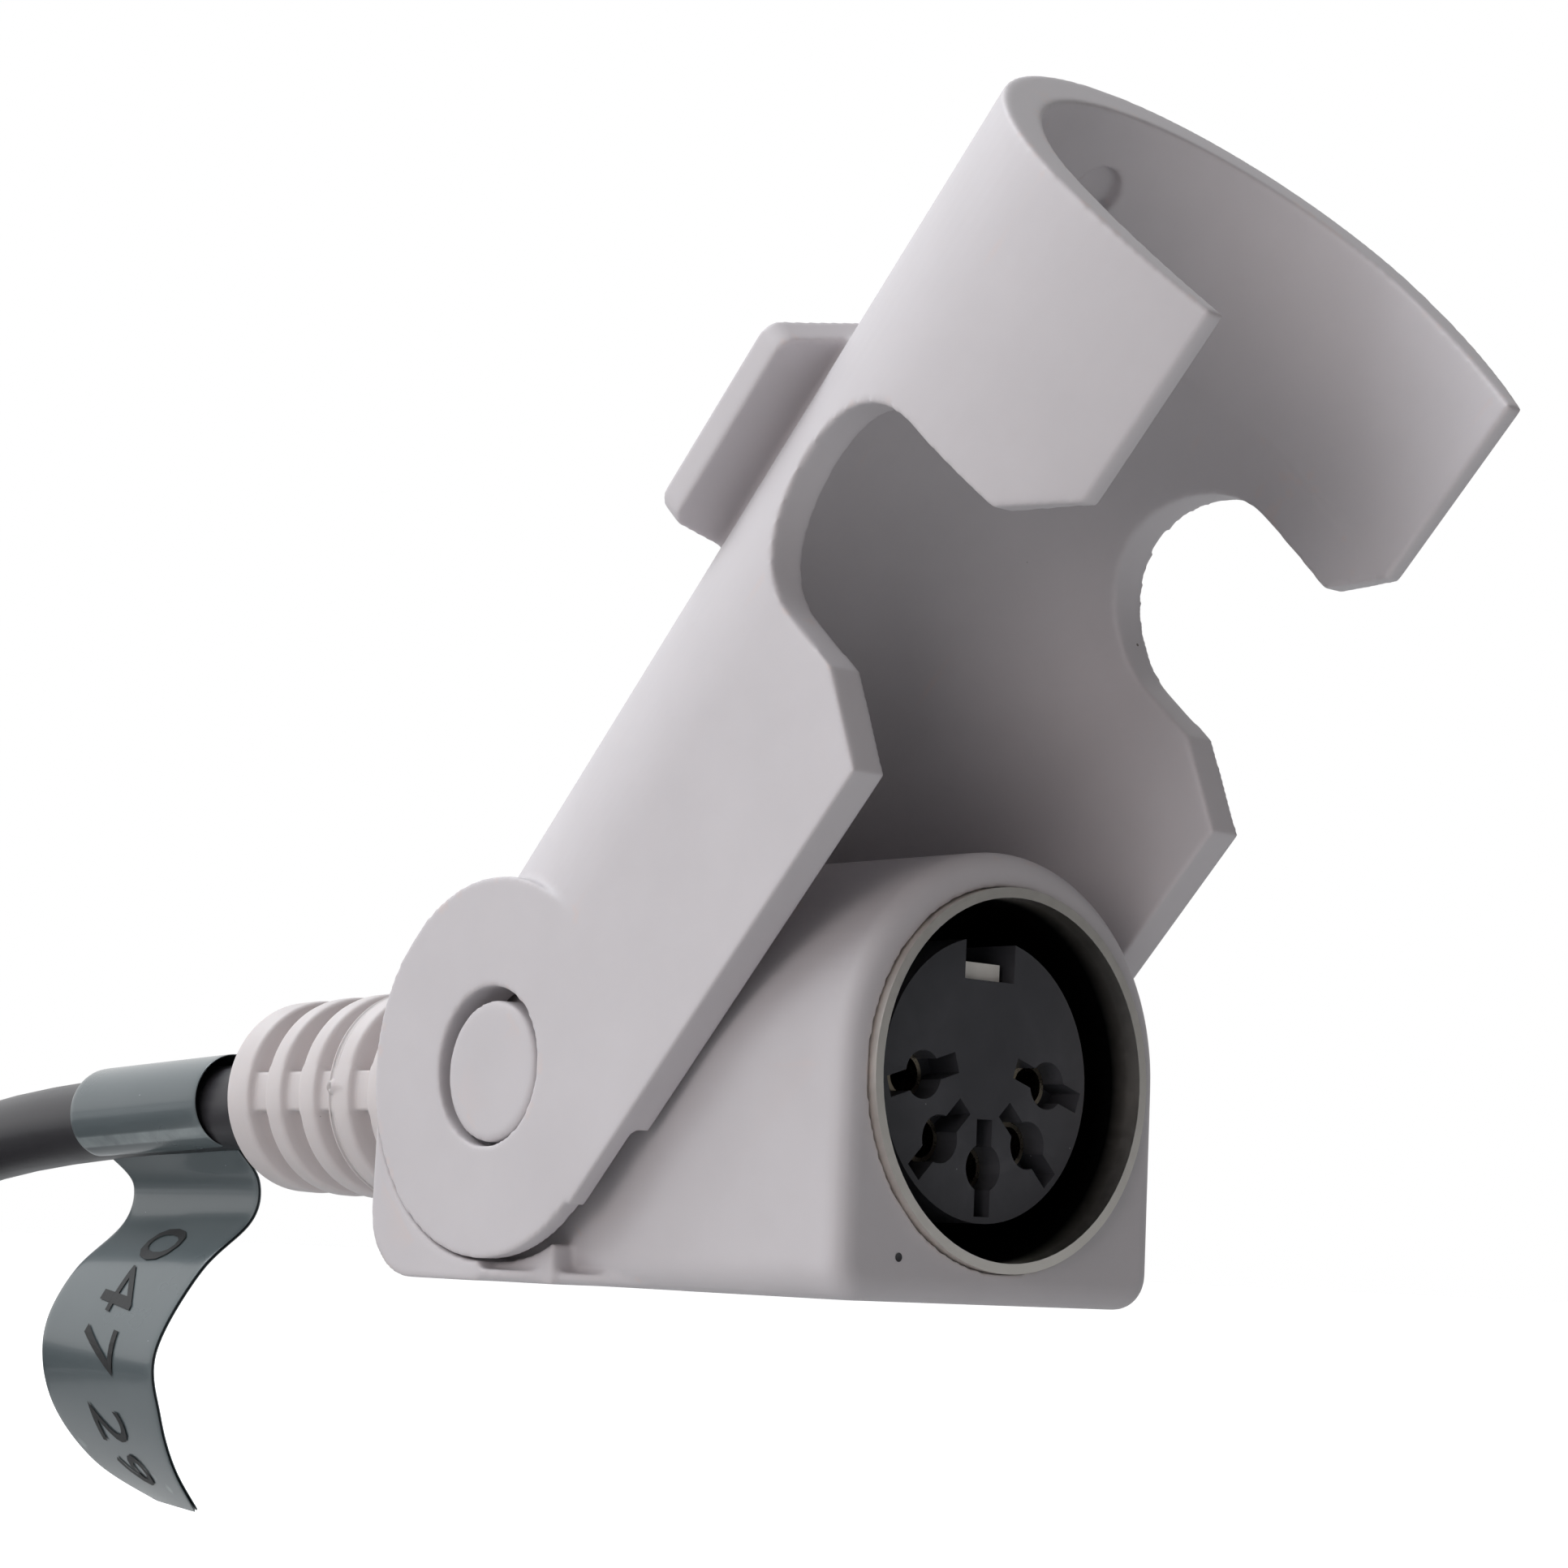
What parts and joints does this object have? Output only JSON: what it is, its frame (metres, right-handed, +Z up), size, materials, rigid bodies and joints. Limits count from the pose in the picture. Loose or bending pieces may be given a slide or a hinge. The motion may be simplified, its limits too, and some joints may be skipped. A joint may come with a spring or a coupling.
{
  "type": "cable-end round connector socket with locking clip",
  "caption": "Cable-end round multi-pole socket with a hinged clip that swings down and holds a mated plug, a ribbed strain-relief boot, a curled flag label and a coiled lead to a plug.",
  "frame": {"origin": "centre of the socket mouth, in the plane of the housing's front face", "axes": "+X out of the mouth along the plug's way, +Z up through the clip's opening side, -Y the side seen first"},
  "size_m": [0.165, 0.0544, 0.0632],
  "materials": {
    "housing_plastic": "fine moulded, lilac-grey",
    "clip_plastic": "fine moulded, lilac-grey",
    "nickel_shell": "satin nickel plating",
    "insert_plastic": "dark grey moulded insert",
    "cap_plastic": "dark moulded",
    "spring_strip": "bright sprung strip",
    "contact_metal": "plated contact",
    "core_white": "wire insulation",
    "core_brown": "wire insulation",
    "core_green": "wire insulation",
    "core_yellow": "wire insulation",
    "core_grey": "wire insulation",
    "ferrule_metal": "crimped",
    "boot_rubber": "soft cream, satin",
    "lead_jacket": "smooth dark jacket, satin",
    "tie_strap": "flat strap",
    "label_vinyl": "glossy laminated vinyl, blue-grey",
    "plug_boot_rubber": "soft cream, satin",
    "plug_plastic": "fine moulded, lilac-grey",
    "plug_nickel": "satin nickel plating"
  },
  "bodies": {
    "connector": {"housing": "housing_plastic", "socket_shell": "nickel_shell", "contact_carrier": "insert_plastic", "carrier_cap": "cap_plastic", "shield_spring": "spring_strip", "contact_1": "contact_metal", "contact_2": "contact_metal", "contact_3": "contact_metal", "contact_4": "contact_metal", "contact_5": "contact_metal", "core_wire_1": "core_white", "core_wire_2": "core_brown", "core_wire_3": "core_green", "core_wire_4": "core_yellow", "core_wire_5": "core_grey", "crimp_ferrule": "ferrule_metal", "strain_relief_boot": "boot_rubber", "lead_cord": "lead_jacket", "cord_coil": "lead_jacket", "coil_tie": "tie_strap", "flag_label": "label_vinyl", "plug_boot": "plug_boot_rubber", "plug_body": "plug_plastic", "plug_shell": "plug_nickel", "plug_insert": "insert_plastic", "plug_pin_1": "contact_metal", "plug_pin_2": "contact_metal", "plug_pin_3": "contact_metal", "plug_pin_4": "contact_metal", "plug_pin_5": "contact_metal"},
    "clip": {"locking_clip": "clip_plastic"}
  },
  "joints": [
    {"name": "clip_pivot", "type": "hinge", "parent": "connector", "child": "clip", "pos_m": [-0.01939, 0, 0], "axis": [0, -1, 0], "range_deg": [-46, 15]}
  ]
}
